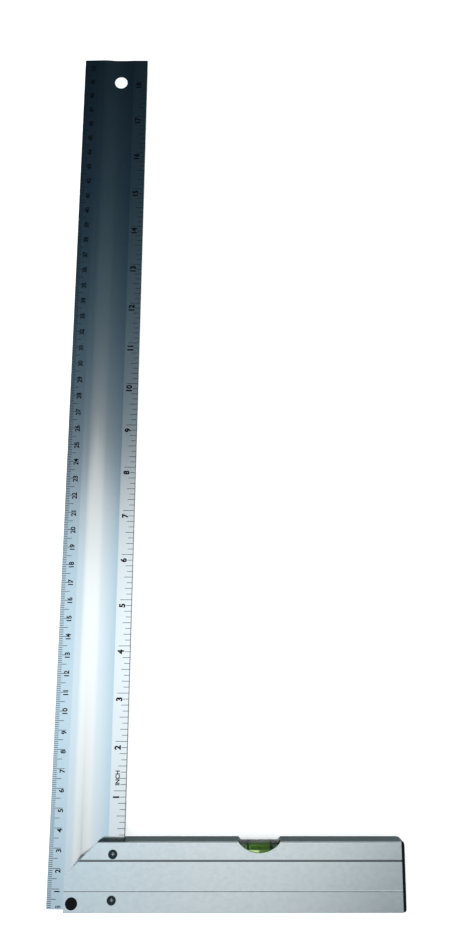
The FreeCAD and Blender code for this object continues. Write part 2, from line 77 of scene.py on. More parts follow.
class Graph:
    """A node tree that is filled step by step."""

    def __init__(self, tree: bpy.types.NodeTree) -> None:
        """Start on a tree and empty it.

        Args:
            tree: The material's, world's or group's node tree.
        """
        self.tree = tree
        self.tree.nodes.clear()

    def add(self, kind: str, **settings: object) -> Node:
        """Add a node and set its properties.

        Args:
            kind: The node's type without the ShaderNode prefix.
            settings: Properties of the node.

        Returns:
            The new node.
        """
        prefix = "" if kind.startswith("NodeGroup") else "ShaderNode"
        node = self.tree.nodes.new(prefix + kind)
        for name, value in settings.items():
            setattr(node, name, value)
        return node

    def join(self, source: Socket, target: Socket) -> None:
        """Link one socket to another."""
        self.tree.links.new(source, target)

    def feed(self, target: Socket, value: Socket | float | tuple) -> None:
        """Give a socket its value, by a link or as a constant.

        Args:
            target: The input socket.
            value: Another node's output, a number or a tuple.
        """
        if isinstance(value, Socket):
            self.join(value, target)
        else:
            target.default_value = value

    def fill(self, node: Node, **values: Socket | float | tuple) -> Node:
        """Give a node's inputs their values, with _ for each blank in a name."""
        for label, value in values.items():
            self.feed(node.inputs[label.replace("_", " ")], value)
        return node

    def math(self, operation: str, *inputs: Socket | float, clamp: bool = False) -> Socket:
        """Add a Math node.

        Args:
            operation: The node's operation.
            inputs: Up to three values or sockets.
            clamp: Whether the result is kept between 0 and 1.

        Returns:
            The node's output.
        """
        node = self.add("Math", operation=operation, use_clamp=clamp)
        for socket, value in zip(node.inputs, inputs):
            self.feed(socket, value)
        return node.outputs[0]

    def plus(self, *inputs: Socket | float, clamp: bool = False) -> Socket:
        """Add two values."""
        return self.math("ADD", *inputs, clamp=clamp)

    def minus(self, *inputs: Socket | float) -> Socket:
        """Take the second value from the first."""
        return self.math("SUBTRACT", *inputs)

    def times(self, *inputs: Socket | float) -> Socket:
        """Multiply two values."""
        return self.math("MULTIPLY", *inputs)

    def size(self, value: Socket) -> Socket:
        """Return a value without its sign."""
        return self.math("ABSOLUTE", value)

    def axes(self, vector: Socket) -> tuple[Socket, Socket, Socket]:
        """Split coordinates into X, Y and Z."""
        node = self.add("SeparateXYZ")
        self.join(vector, node.inputs[0])
        return tuple(node.outputs)

    def relief(self, height: Socket, depth: float) -> Socket:
        """Return a normal that stands for a fine relief.

        Args:
            height: The relief, from 0 to 1.
            depth: Its full depth.

        Returns:
            The normal.
        """
        node = self.fill(self.add("Bump"), Strength=1.0, Distance=depth, Height=height)
        return node.outputs["Normal"]

    def ease(self, value: Socket, low: float, high: float, start: float = 0.0,
             end: float = 1.0) -> Socket:
        """Map a value smoothly from one range to another.

        Args:
            value: The value to map.
            low: Where the change starts.
            high: Where it ends.
            start: The result at low.
            end: The result at high.

        Returns:
            The mapped value.
        """
        node = self.add("MapRange", interpolation_type="SMOOTHSTEP")
        self.fill(node, Value=value, From_Min=low, From_Max=high, To_Min=start, To_Max=end)
        return node.outputs["Result"]

    def blend(self, factor: Socket | float, first: Socket | tuple, second: Socket | tuple) -> Socket:
        """Mix two colours.

        Args:
            factor: How much of the second colour shows.
            first: The colour at 0.
            second: The colour at 1.

        Returns:
            The mixed colour.
        """
        node = self.add("Mix", data_type="RGBA")
        first, second = (opaque(tone) if isinstance(tone, tuple) else tone for tone in (first, second))
        return self.fill(node, Factor=factor, A=first, B=second).outputs["Result"]

    def noise(self, vector: Socket, scale: float, detail: float = 3.0) -> Socket:
        """Add a noise texture.

        Args:
            vector: The coordinates that it reads.
            scale: Features for each metre.
            detail: The number of finer layers.

        Returns:
            The noise value.
        """
        node = self.fill(self.add("TexNoise"), Vector=vector, Scale=scale, Detail=detail)
        return node.outputs["Fac"]

    def stretched(self, vector: Socket, scale: tuple[float, float, float]) -> Socket:
        """Scale coordinates unevenly, so that a pattern is drawn out along an axis.

        Args:
            vector: The coordinates.
            scale: The factor for each axis.

        Returns:
            The scaled coordinates.
        """
        return self.fill(self.add("Mapping"), Vector=vector, Scale=scale).outputs["Vector"]


def opaque(colour: tuple) -> tuple[float, float, float, float]:
    """Return a colour with full alpha."""
    return (colour[0], colour[1], colour[2], 1.0)


def linked(name: str, data: bpy.types.ID) -> Piece:
    """Put data into the scene.

    Args:
        name: The new object's name.
        data: Its mesh, curve, lamp or camera.

    Returns:
        The new object.
    """
    made = bpy.data.objects.new(name, data)
    bpy.context.scene.collection.objects.link(made)
    return made


class Effect:
    """A shader node group that several finishes share."""

    name = "effect"
    inputs: tuple[tuple[str, str, float], ...] = ()
    outputs: tuple[str, ...] = ()

    def wire(self, graph: Graph, given: Node, result: Node) -> None:
        """Fill the group between its input and output nodes."""
        raise NotImplementedError

    def group(self) -> bpy.types.NodeTree:
        """Return the group, built on its first use.

        Returns:
            The node group.
        """
        if self.name in bpy.data.node_groups:
            return bpy.data.node_groups[self.name]
        tree = bpy.data.node_groups.new(self.name, "ShaderNodeTree")
        for label, kind, default in self.inputs:
            socket = tree.interface.new_socket(label, in_out="INPUT", socket_type=kind)
            if kind == "NodeSocketFloat":
                socket.default_value = default
        for label in self.outputs:
            tree.interface.new_socket(label, in_out="OUTPUT", socket_type="NodeSocketFloat")
        graph = Graph(tree)
        self.wire(graph, graph.add("NodeGroupInput"), graph.add("NodeGroupOutput"))
        return tree

    def place(self, graph: Graph, vector: Socket, **values: float) -> Node:
        """Put the group into a material.

        Args:
            graph: The material's tree.
            vector: The coordinates that it reads.
            values: The group's other inputs, by name.

        Returns:
            The group's node.
        """
        return graph.fill(graph.add("Group", node_tree=self.group()), Vector=vector, **values)


class FineLines(Effect):
    """Fine parallel lines, as drawing and brushing leave them on metal."""

    name = "fine lines"
    inputs = (("Vector", "NodeSocketVector", 0.0), ("Contrast", "NodeSocketFloat", 1.0))
    outputs = ("Height", "Mask")
    coarse = (0.012, 900.0, 4.0)
    fine = (0.004, 5200.0, 2.0)

    def wire(self, graph: Graph, given: Node, result: Node) -> None:
        """Add coarse and fine lines that run along the vector's Y."""
        halves = []
        for stretch, scale, detail in (self.coarse, self.fine):
            drawn = graph.stretched(given.outputs["Vector"], (1.0, stretch, 1.0))
            halves.append(graph.times(graph.noise(drawn, scale, detail), 0.5))
        total = graph.plus(*halves)
        graph.join(total, result.inputs["Height"])
        centred = graph.minus(total, 0.5)
        spread = graph.times(centred, given.outputs["Contrast"])
        graph.join(graph.plus(spread, 0.5, clamp=True), result.inputs["Mask"])


class Handling(Effect):
    """Faint smudges and small scuffs from handling."""

    name = "handling"
    inputs = (("Vector", "NodeSocketVector", 0.0), ("Amount", "NodeSocketFloat", 0.5))
    outputs = ("Smudge", "Scuff")
    smudge_scale = 28.0
    scuff_scale = 640.0
    scuff_stretch = 0.12

    def wire(self, graph: Graph, given: Node, result: Node) -> None:
        """Add broad smudges and short thin scuffs."""
        broad = graph.noise(given.outputs["Vector"], self.smudge_scale, 5.0)
        smudge = graph.times(graph.ease(broad, 0.45, 0.75), given.outputs["Amount"])
        graph.join(smudge, result.inputs["Smudge"])
        drawn = graph.stretched(given.outputs["Vector"], (1.0, self.scuff_stretch, 1.0))
        thin = graph.noise(drawn, self.scuff_scale, 2.0)
        scuff = graph.times(graph.ease(thin, 0.70, 0.80), given.outputs["Amount"])
        graph.join(scuff, result.inputs["Scuff"])


@dataclass(frozen=True)
class Finish:
    """A surface finish: the slot it belongs to and the material that shows it."""

    name: str
    slot: str
    colour: Colour
    roughness: float

    def shade(self, graph: Graph, shader: Node, place: Socket) -> None:
        """Wire what changes over the surface into the shader.

        Args:
            graph: The material's tree.
            shader: Its Principled BSDF.
            place: The Object coordinates.
        """
        raise NotImplementedError

    def constants(self) -> dict[str, float | tuple]:
        """Return the shader's values that are the same all over."""
        return {}

    def material(self) -> bpy.types.Material:
        """Return the finish's material, built on its first use.

        Returns:
            The material.
        """
        if self.name in bpy.data.materials:
            return bpy.data.materials[self.name]
        made = bpy.data.materials.new(self.name)
        made.use_nodes = True
        graph = Graph(made.node_tree)
        shader = graph.add("BsdfPrincipled")
        shader.inputs["Base Color"].default_value = opaque(self.colour)
        shader.inputs["Roughness"].default_value = self.roughness
        for label, value in self.constants().items():
            shader.inputs[label].default_value = value
        self.shade(graph, shader, graph.add("TexCoord").outputs["Object"])
        graph.join(shader.outputs["BSDF"], graph.add("OutputMaterial").inputs["Surface"])
        return made

    def dress(self, piece: Piece) -> None:
        """Give a piece this finish in place of any other."""
        piece.data.materials.clear()
        piece.data.materials.append(self.material())


@dataclass(frozen=True)
class LinedMetal(Finish):
    """Aluminium or steel with fine lines along one axis."""

    grain: Grain
    line_depth: float
    contrast: float
    handling: float
    dull: Colour
    line_sheen: float = 0.10
    smudge_sheen: float = 0.08

    def constants(self) -> dict[str, float | tuple]:
        """Return the values that make it bare metal."""
        return {"Metallic": 1.0}

    def shade(self, graph: Graph, shader: Node, place: Socket) -> None:
        """Draw the lines into colour, roughness and relief."""
        across = place
        if self.grain is Grain.ALONG_X:
            turned = graph.fill(graph.add("Mapping"), Vector=place, Rotation=(0.0, 0.0, math.pi / 2))
            across = turned.outputs["Vector"]
        lines = FineLines().place(graph, across, Contrast=self.contrast)
        marks = Handling().place(graph, across, Amount=self.handling)
        tone = graph.blend(lines.outputs["Mask"], self.dull, self.colour)
        graph.join(graph.blend(marks.outputs["Scuff"], tone, self.dull), shader.inputs["Base Color"])
        spread = graph.times(lines.outputs["Mask"], self.line_sheen)
        rough = graph.plus(spread, self.roughness - self.line_sheen / 2)
        smudged = graph.times(marks.outputs["Smudge"], self.smudge_sheen)
        graph.join(graph.plus(rough, smudged, clamp=True), shader.inputs["Roughness"])
        graph.join(graph.relief(lines.outputs["Height"], self.line_depth), shader.inputs["Normal"])

    @staticmethod
    def tone(shader: Node) -> Socket:
        """Return the output that the base colour comes from so far."""
        return shader.inputs["Base Color"].links[0].from_socket


@dataclass(frozen=True)
class RecessedSteel(LinedMetal):
    """Dark steel with a pale painted highlight in the shape of a small cross recess on each head."""

    heads: tuple[str, ...] = ("upper_screw", "lower_screw")
    arm_half: tuple[float, float] = (0.22 * MM, 0.34 * MM)
    arm_reach: tuple[float, float] = (0.7 * MM, 1.0 * MM)
    # The pale colour of the painted highlight on each head.
    worn: Colour = (0.48, 0.52, 0.53)

    def shade(self, graph: Graph, shader: Node, place: Socket) -> None:
        """Draw each cross as a painted highlight around the axis that each screw shares with its nut."""
        super().shade(graph, shader, place)
        tone = self.tone(shader)
        x, y, _ = graph.axes(place)
        for head in self.heads:
            low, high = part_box(head)
            middle = (low + high) / 2
            east = graph.size(graph.minus(x, middle.x))
            north = graph.size(graph.minus(y, middle.y))
            arm = graph.ease(graph.math("MINIMUM", east, north), *self.arm_half, 1.0, 0.0)
            reach = graph.ease(graph.math("MAXIMUM", east, north), *self.arm_reach, 1.0, 0.0)
            # Painted highlight: each head's cross is blended toward the pale colour.
            tone = graph.blend(graph.times(arm, reach), tone, self.worn)
        graph.join(tone, shader.inputs["Base Color"])


@dataclass(frozen=True)
class RuledStrip(LinedMetal):
    """Brushed aluminium with painted shade on the face along its inch edge."""

    edge_from: tuple[float, float] = (19.60 * MM, 19.78 * MM)
    # Painted shade on the inch edge face.
    sawn: Colour = (0.11, 0.12, 0.125)

    def shade(self, graph: Graph, shader: Node, place: Socket) -> None:
        """Paint shade onto the edge face along X."""
        super().shade(graph, shader, place)
        # Painted shade on the inch edge.
        edge = graph.ease(graph.axes(place)[0], *self.edge_from)
        graph.join(graph.blend(edge, self.tone(shader), self.sawn), shader.inputs["Base Color"])


@dataclass(frozen=True)
class SatinStock(LinedMetal):
    """Satin aluminium with a fine crystalline sparkle, painted shade in its groove and on its narrow faces,
    and painted highlights on its scribed line and around the scoop.
    """

    half_depth: float = 9.0 * MM
    crystal_scale: float = 700.0
    crystal_stretch: float = 0.6
    sparkle: float = 0.40
    mottle_scale: float = 330.0
    mottle: float = 0.34
    groove_at: float = 8.0 * MM
    # Painted shade inside the groove.
    groove_tone: Colour = (0.20, 0.22, 0.23)
    groove_depth: tuple[float, float] = (0.05 * MM, 0.30 * MM)
    band_half: tuple[float, float] = (0.60 * MM, 0.70 * MM)
    line_at: float = -6.7 * MM
    line_depth_at: tuple[float, float] = (0.01 * MM, 0.06 * MM)
    # How far the painted highlights on the scribed line and the scoop's break give up their metal, so that
    # they show pale.
    cut_matt: float = 0.7
    scoop_centre: tuple[float, float] = (91.2 * MM, 25.9 * MM)
    scoop_radius: float = 14.2 * MM
    rim_reach: tuple[float, float] = (0.42 * MM, 0.50 * MM)
    rim_top: tuple[float, float] = (0.005 * MM, 0.03 * MM)
    rim_foot: tuple[float, float] = (0.39 * MM, 0.43 * MM)
    # Painted highlight: a pale greenish colour on the break around the scoop.
    edge_tone: Colour = (0.80, 0.95, 0.78)
    side_from: tuple[float, float] = (17.1 * MM, 17.18 * MM)
    # Painted shade on the two narrow faces that run along the stock.
    side_tone: Colour = (0.58, 0.635, 0.65)
    grazing: Colour = (0.08, 0.10, 0.10)

    def constants(self) -> dict[str, float | tuple]:
        """Return bare metal that grows dark when seen along its faces."""
        return super().constants() | {"Specular Tint": opaque(self.grazing)}

    def shade(self, graph: Graph, shader: Node, place: Socket) -> None:
        """Add the sparkle, painted shade on the narrow faces and in the groove, and painted highlights on
        the scribed line and the scoop's break.
        """
        super().shade(graph, shader, place)
        x, y, z = graph.axes(place)
        depth = graph.minus(self.half_depth, graph.size(graph.minus(z, self.half_depth)))
        toned = graph.blend(self.grain_mask(graph, place), self.tone(shader), self.dull)
        # Painted shade: both narrow faces are darkened.
        toned = graph.blend(graph.ease(graph.size(y), *self.side_from), toned, self.side_tone)
        # Painted shade: the groove is darkened by its depth within a narrow band.
        recess = graph.times(graph.ease(depth, *self.groove_depth), self.band(graph, y, self.groove_at))
        toned = graph.blend(recess, toned, self.groove_tone)
        # Painted highlight on the break around the scoop.
        rim = self.scoop_edge(graph, x, y, depth)
        graph.join(graph.blend(rim, toned, self.edge_tone), shader.inputs["Base Color"])
        # Painted highlight: the upper half of the scribed line and the scoop's break are made less
        # metallic, so they show pale.
        upper = graph.ease(graph.minus(y, self.line_at), -0.05 * MM, 0.05 * MM)
        line = graph.times(self.band(graph, y, self.line_at), upper)
        cut = graph.math("MAXIMUM", graph.times(graph.ease(depth, *self.line_depth_at), line), rim)
        graph.join(graph.minus(1.0, graph.times(cut, self.cut_matt)), shader.inputs["Metallic"])

    def grain_mask(self, graph: Graph, place: Socket) -> Socket:
        """Return the mask of the crystals and of the softer mottling.

        Args:
            graph: The material's tree.
            place: The Object coordinates.

        Returns:
            The mask.
        """
        drawn = graph.stretched(place, (self.crystal_stretch, 1.0, 1.0))
        crystals = graph.fill(graph.add("TexVoronoi"), Vector=drawn, Scale=self.crystal_scale)
        sparkle = graph.ease(crystals.outputs["Color"], 0.3, 0.9, 0.0, self.sparkle)
        soft = graph.ease(graph.noise(place, self.mottle_scale, 4.0), 0.35, 0.7, 0.0, self.mottle)
        return graph.plus(sparkle, soft)

    def scoop_edge(self, graph: Graph, x: Socket, y: Socket, depth: Socket) -> Socket:
        """Return a mask of the narrow break around the scoop.

        Args:
            graph: The material's tree.
            x: The place along the stock.
            y: The place across it.
            depth: The depth below the nearer broad face.

        Returns:
            The mask.
        """
        east = graph.minus(x, self.scoop_centre[0])
        north = graph.minus(y, self.scoop_centre[1])
        squared = graph.plus(graph.times(east, east), graph.times(north, north))
        reach = graph.minus(graph.math("SQRT", squared), self.scoop_radius)
        around = graph.ease(reach, *self.rim_reach, 1.0, 0.0)
        shallow = graph.times(graph.ease(depth, *self.rim_top), graph.ease(depth, *self.rim_foot, 1.0, 0.0))
        return graph.times(around, shallow)

    def band(self, graph: Graph, along: Socket, middle: float) -> Socket:
        """Return a mask of a narrow band around a place, with soft sides."""
        return graph.ease(graph.size(graph.minus(along, middle)), *self.band_half, 1.0, 0.0)


@dataclass(frozen=True)
class Moulded(Finish):
    """Moulded plastic with a fine spark-eroded texture."""

    texture_depth: float = 0.01 * MM
    texture_scale: float = 4200.0
    sheen: float = 0.2

    def constants(self) -> dict[str, float | tuple]:
        """Return the values of a dull black plastic."""
        return {"Specular IOR Level": 0.08}

    def shade(self, graph: Graph, shader: Node, place: Socket) -> None:
        """Add the texture's relief and an uneven sheen."""
        grain = graph.noise(place, self.texture_scale, 3.0)
        marks = Handling().place(graph, place, Amount=0.4)
        # A slightly lighter colour for the plastic's scuffs, which are wear.
        worn = tuple(min(1.0, part + 0.03) for part in self.colour)
        graph.join(graph.blend(marks.outputs["Scuff"], self.colour, worn), shader.inputs["Base Color"])
        varied = graph.plus(graph.times(grain, self.sheen), self.roughness - self.sheen / 2)
        graph.join(varied, shader.inputs["Roughness"])
        graph.join(graph.relief(grain, self.texture_depth), shader.inputs["Normal"])


@dataclass(frozen=True)
class Clear(Finish):
    """Clear acrylic or a clear liquid, with an index of refraction."""

    index: float
    cloudy: float = 0.0

    def constants(self) -> dict[str, float | tuple]:
        """Return the values that let light through."""
        return {"Transmission Weight": 1.0 - self.cloudy, "IOR": self.index}

    def shade(self, graph: Graph, shader: Node, place: Socket) -> None:
        """Vary the tint a little, as cast acrylic and dyed liquid do."""
        cloud = graph.noise(place, 160.0, 2.0)
        deeper = tuple(part * 0.94 for part in self.colour)
        graph.join(graph.blend(cloud, self.colour, deeper), shader.inputs["Base Color"])


@dataclass(frozen=True)
class Shimmer(Clear):
    """The bubble, coloured with painted light: painted dark shade along its upper side, a painted highlight
    towards its left end and painted shade towards its right.
    """

    # Painted shade: the dark colour along the upper side and the dull colour towards the right end.
    rim: Colour = (0.025, 0.07, 0.002)
    olive: Colour = (0.14, 0.25, 0.03)
    rim_at: tuple[float, float] = (11.75 * MM, 12.15 * MM)
    # Where the painted highlight fades along X.
    patch_at: tuple[float, float] = (90.2 * MM, 91.6 * MM)
    # Emission that makes the bubble shine like a lamp, which is painted light.
    glow: float = 0.7

    def constants(self) -> dict[str, float | tuple]:
        """Return the liquid's values with a faint emission, which is painted light."""
        return super().constants() | {"Emission Strength": self.glow}

    def shade(self, graph: Graph, shader: Node, place: Socket) -> None:
        """Place the painted dark shade along Y and the painted highlight along X, and let the colour shine
        as emission.
        """
        x, y, _ = graph.axes(place)
        # Painted light: highlight towards the left end, shade along the upper side, shown also as emission.
        painted_highlight = graph.ease(x, *self.patch_at, 1.0, 0.0)
        inside = graph.blend(painted_highlight, self.olive, self.colour)
        tone = graph.blend(graph.ease(y, *self.rim_at), inside, self.rim)
        graph.join(tone, shader.inputs["Base Color"])
        graph.join(tone, shader.inputs["Emission Color"])


@dataclass(frozen=True)
class Ink(Finish):
    """Screen-printed ink, slightly uneven in cover."""

    thin: Colour
    cover_scale: float = 1500.0

    def constants(self) -> dict[str, float | tuple]:
        """Return the values of a dull ink."""
        return {"Specular IOR Level": 0.02}

    def shade(self, graph: Graph, shader: Node, place: Socket) -> None:
        """Let the metal's tone show a little where the ink is thin."""
        patchy = graph.ease(graph.noise(place, self.cover_scale, 3.0), 0.45, 0.75)
        tone = graph.blend(graph.times(patchy, 0.5), self.colour, self.thin)
        graph.join(tone, shader.inputs["Base Color"])


@dataclass(frozen=True)
class Paper(Finish):
    """The plain pale floor, which the camera and the shiny surfaces see as white."""

    lift: float = 0.42

    def shade(self, graph: Graph, shader: Node, place: Socket) -> None:
        """Vary the tone very slightly and lift it for the rays that show it."""
        cloud = graph.noise(place, 3.0, 2.0)
        shaded = tuple(part * 0.99 for part in self.colour)
        graph.join(graph.blend(cloud, self.colour, shaded), shader.inputs["Base Color"])
        rays = graph.add("LightPath")
        seen = graph.plus(rays.outputs["Is Camera Ray"], rays.outputs["Is Glossy Ray"])
        seen = graph.plus(seen, rays.outputs["Is Transmission Ray"], clamp=True)
        shader.inputs["Emission Color"].default_value = opaque(WHITE)
        graph.join(graph.times(seen, self.lift), shader.inputs["Emission Strength"])


BLADE_METAL = RuledStrip(
    "brushed blade", "brushed_blade", (0.90, 0.91, 0.91), 0.14, grain=Grain.ALONG_Y,
    line_depth=0.0012 * MM, contrast=0.5, handling=0.15, dull=(0.85, 0.87, 0.88))
STOCK_METAL = SatinStock(
    "drawn stock", "anodised_stock", (0.945, 0.99, 1.0), 0.19, grain=Grain.ALONG_X,
    line_depth=0.0014 * MM, contrast=0.25, handling=0.4, dull=(0.78, 0.835, 0.86))
PACKER_METAL = LinedMetal(
    "packer metal", "anodised_stock", (0.80, 0.81, 0.82), 0.40, grain=Grain.ALONG_X,
    line_depth=0.003 * MM, contrast=0.6, handling=0.3, dull=(0.66, 0.67, 0.68))
SCREW_STEEL = RecessedSteel(
    "dark screw steel", "dark_steel", (0.045, 0.070, 0.078), 0.30, grain=Grain.ALONG_X,
    line_depth=0.002 * MM, contrast=0.5, handling=0.5, dull=(0.02, 0.03, 0.035))
BLACK_PLASTIC = Moulded("black plastic", "black_plastic", (0.004, 0.004, 0.005), 0.42)
ACRYLIC = Clear("clear acrylic", "clear_acrylic", (0.90, 0.95, 0.92), 0.03, index=1.49)
INNER_ACRYLIC = Clear("inner acrylic", "clear_acrylic", (0.90, 0.95, 0.92), 0.03, index=1.05)
LIQUID = Clear("green liquid", "green_liquid", (0.42, 0.72, 0.19), 0.0, index=1.05, cloudy=0.14)
# The bubble's own colour is its painted highlight.
BUBBLE = Shimmer("bubble", "green_liquid", (1.00, 1.00, 0.92), 0.0, index=1.05, cloudy=0.8)
NUMERAL_INK = Ink("numeral ink", "black_plastic", (0.001, 0.002, 0.003), 0.7, thin=(0.008, 0.010, 0.012))
TICK_INK = Ink("tick ink", "black_plastic", (0.003, 0.005, 0.007), 0.7, thin=(0.02, 0.025, 0.03))
FLOOR_PAPER = Paper("pale paper", "floor", (0.92, 0.92, 0.92), 0.9)


class Maker:
    """Turns bmeshes into finished pieces at the origin."""

    @staticmethod
    def piece(name: str, shape: Shape, finish: Finish) -> Piece:
        """Make an object of a bmesh, dress it and let it ride.

        Args:
            name: The piece's name.
            shape: Its mesh, in place.
            finish: Its finish.

        Returns:
            The new object.
        """
        mesh = bpy.data.meshes.new(name)
        shape.to_mesh(mesh)
        shape.free()
        Maker.smooth(mesh)
        made = linked(name, mesh)
        finish.dress(made)
        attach(made, BODY)
        return made

    @staticmethod
    def smooth(mesh: bpy.types.Mesh) -> None:
        """Shade a mesh smooth, with its true edges kept sharp."""
        mesh.shade_smooth()
        mesh.set_sharp_from_angle(angle=SHARP_ANGLE)

    @staticmethod
    def cut(target: Piece, cutter: Shape) -> None:
        """Subtract one closed mesh from a piece for good.

        Args:
            target: The piece.
            cutter: The mesh that is taken away, which is freed.
        """
        mesh = bpy.data.meshes.new("cutter")
        cutter.to_mesh(mesh)
        cutter.free()
        tool = linked("cutter", mesh)
        boolean = target.modifiers.new("cut", "BOOLEAN")
        boolean.operation = "DIFFERENCE"
        boolean.solver = "EXACT"
        boolean.object = tool
        bpy.context.view_layer.update()
        graph = bpy.context.evaluated_depsgraph_get()
        result = bpy.data.meshes.new_from_object(target.evaluated_get(graph))
        target.modifiers.remove(boolean)
        old = target.data
        target.data = result
        bpy.data.meshes.remove(old)
        bpy.data.objects.remove(tool)
        bpy.data.meshes.remove(mesh)


@dataclass
class BladeSection:
    """The blade's cross-section, from the frame's box, a few widths and its slopes."""

    metric_edge: float = 2.65 * MM
    metric_rise: float = 0.035
    metric_band_width: float = 8.8 * MM
    shoulder_rise: float = 0.012
    shoulder_to: float = 12.0 * MM
    steepest_at: float = 17.0 * MM
    steepest_fall: float = 0.14
    valley_distance: float = 22.5 * MM
    inch_band: float = 2.59 * MM
    inch_band_width: float = 8.6 * MM
    low: Vector = field(default_factory=lambda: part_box("blade")[0])
    high: Vector = field(default_factory=lambda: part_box("blade")[1])

    @property
    def metric_slope(self) -> float:
        """The angle of the metric band, which rises from the edge to the shoulder."""
        return math.atan(self.metric_rise)

    def thickness(self, across: float) -> float:
        """Return the blade's thickness at a distance from its metric edge.

        Args:
            across: The distance from the metric edge.

        Returns:
            The thickness there.
        """
        width = self.high.x - self.low.x
        crease_at = width - self.inch_band_width
        if across <= self.metric_band_width:
            return self.metric_edge + across * self.metric_rise
        if across >= crease_at:
            return self.inch_band
        if across <= self.steepest_at:
            return self.roll(across)
        reach = self.valley_distance - self.steepest_at
        valley = self.roll(self.steepest_at) - self.steepest_fall * reach / 2
        if across <= self.valley_distance:
            share = (self.valley_distance - across) / reach
            return valley + self.steepest_fall * reach / 2 * share * share
        share = (across - self.valley_distance) / (crease_at - self.valley_distance)
        return valley + (self.inch_band - valley) * share * share

    def roll(self, across: float) -> float:
        """Return the thickness on the shoulder and where the surface rolls over into its fall.

        Args:
            across: The distance from the metric edge.

        Returns:
            The thickness there.
        """
        shelf = self.metric_edge + self.metric_band_width * self.metric_rise
        level = shelf + (across - self.metric_band_width) * self.shoulder_rise
        past = max(across - self.shoulder_to, 0.0)
        turn = (self.shoulder_rise + self.steepest_fall) / (self.steepest_at - self.shoulder_to)
        return level - turn * past * past / 2

    def surface(self, x: float) -> float:
        """Return the height of the front surface at a place along X."""
        return self.low.z + self.thickness(x - self.low.x)


@dataclass
class Blade:
    """The ruled blade, its hang hole and its two printed scales."""

    section: BladeSection = field(default_factory=BladeSection)
    columns: int = 200
    edge_break: float = 0.15 * MM
    hole_radius: float = 4.0 * MM
    hole_from_end: float = 16.2 * MM
    hole_shift: float = 3.4 * MM
    hole_facets: int = 96
    cutter_length: float = 10.0 * MM

    def build(self) -> None:
        """Make the blade and print it."""
        strip = self.strip()
        Maker.cut(strip, self.hole())
        Maker.smooth(strip.data)
        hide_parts("blade")
        log.info("blade: %d faces", len(strip.data.polygons))
        MetricScale(self.section).build()
        InchScale(self.section).build()

    def strip(self) -> Piece:
        """Shape the strip from a grid, drawn to the section and thickened to its back.

        Returns:
            The strip.
        """
        low = self.section.low
        high = self.section.high
        shape = bmesh.new()
        size = high - low
        place = Matrix.Translation(((low.x + high.x) / 2, (low.y + high.y) / 2, high.z))
        stretch = Matrix.Diagonal((size.x, size.y, 1.0, 1.0))
        bmesh.ops.create_grid(
            shape, x_segments=self.columns, y_segments=1, size=0.5, matrix=place @ stretch)
        for vertex in shape.verts:
            vertex.co.z = self.section.surface(vertex.co.x)
        lifted = bmesh.ops.extrude_face_region(shape, geom=list(shape.faces))
        back = [item for item in lifted["geom"] if isinstance(item, bmesh.types.BMVert)]
        for vertex in back:
            vertex.co.z = low.z
        bmesh.ops.recalc_face_normals(shape, faces=list(shape.faces))
        rims = [edge for edge in shape.edges if self.is_rim(edge)]
        bmesh.ops.bevel(
            shape, geom=rims, offset=self.edge_break, segments=2, profile=0.5, affect="EDGES",
            material=-1)
        return Maker.piece("blade_strip", shape, BLADE_METAL)

    @staticmethod
    def is_rim(edge: bmesh.types.BMEdge) -> bool:
        """Say whether an edge lies on one of the blade's two long sides or two ends."""
        return len(edge.link_faces) == 2 and edge.calc_face_angle() > RIM_ANGLE

    def hole(self) -> Shape:
        """Return the cutter of the hang hole.

        Returns:
            Its mesh.
        """
        shape = bmesh.new()
        high = self.section.high
        place = Matrix.Translation((self.hole_shift, high.y - self.hole_from_end, high.z))
        bmesh.ops.create_cone(
            shape, cap_ends=True, segments=self.hole_facets, radius1=self.hole_radius,
            radius2=self.hole_radius, depth=self.cutter_length, matrix=place)
        return shape


@dataclass
class Scale:
    """A printed scale: thin ink ticks and upright numerals along one edge of the blade."""

    section: BladeSection
    ink: float = 0.015 * MM
    tick_width: float = 0.28 * MM

    def bed(self, x: float) -> Matrix:
        """Return the transform that lays a flat print on the blade at a place along X."""
        raise NotImplementedError

    def tick(self, shape: Shape, x: float, y: float, length: float) -> None:
        """Add one tick, centred on a place.

        Args:
            shape: The mesh that takes it.
            x: The middle of the tick.
            y: The line that it marks.
            length: Its length across the blade.
        """
        size = Matrix.Diagonal((length, self.tick_width, self.ink, 1.0))
        bmesh.ops.create_cube(shape, size=1.0, matrix=Matrix.Translation((0, y, 0)) @ self.bed(x) @ size)

    def write(self, shape: Shape, words: str, x: float, y: float, height: float,
              align: str, weight: float, turn: float = math.pi / 2) -> None:
        """Add one label, which reads up the blade unless it is turned otherwise.

        Args:
            shape: The mesh that takes it.
            words: The label.
            x: The place of its base line.
            y: Where it starts, or its middle.
            height: The height of its capitals.
            align: LEFT to start at y, CENTER to be centred there.
            weight: How far the strokes are thickened.
            turn: The way it reads, as an angle from the stock.
        """
        curve = bpy.data.curves.new("label", "FONT")
        curve.body = words
        curve.align_x = align
        curve.size = height / CAPITAL_SHARE
        curve.extrude = self.ink / 2
        curve.offset = weight
        curve.resolution_u = 3
        holder = linked("label", curve)
        bpy.context.view_layer.update()
        graph = bpy.context.evaluated_depsgraph_get()
        mesh = bpy.data.meshes.new_from_object(holder.evaluated_get(graph))
        turned = Matrix.Rotation(turn, 4, "Z")
        mesh.transform(Matrix.Translation((0, y, 0)) @ self.bed(x) @ turned)
        shape.from_mesh(mesh)
        bpy.data.objects.remove(holder)
        bpy.data.curves.remove(curve)
        bpy.data.meshes.remove(mesh)

    @staticmethod
    def close(name: str, shape: Shape, finish: Finish) -> None:
        """Merge a print's doubles and make it a piece.

        Args:
            name: The piece's name.
            shape: Its mesh.
            finish: Its ink.
        """
        bmesh.ops.remove_doubles(shape, verts=list(shape.verts), dist=PRINT_MERGE)
        made = Maker.piece(name, shape, finish)
        log.info("%s: %d faces", name, len(made.data.polygons))


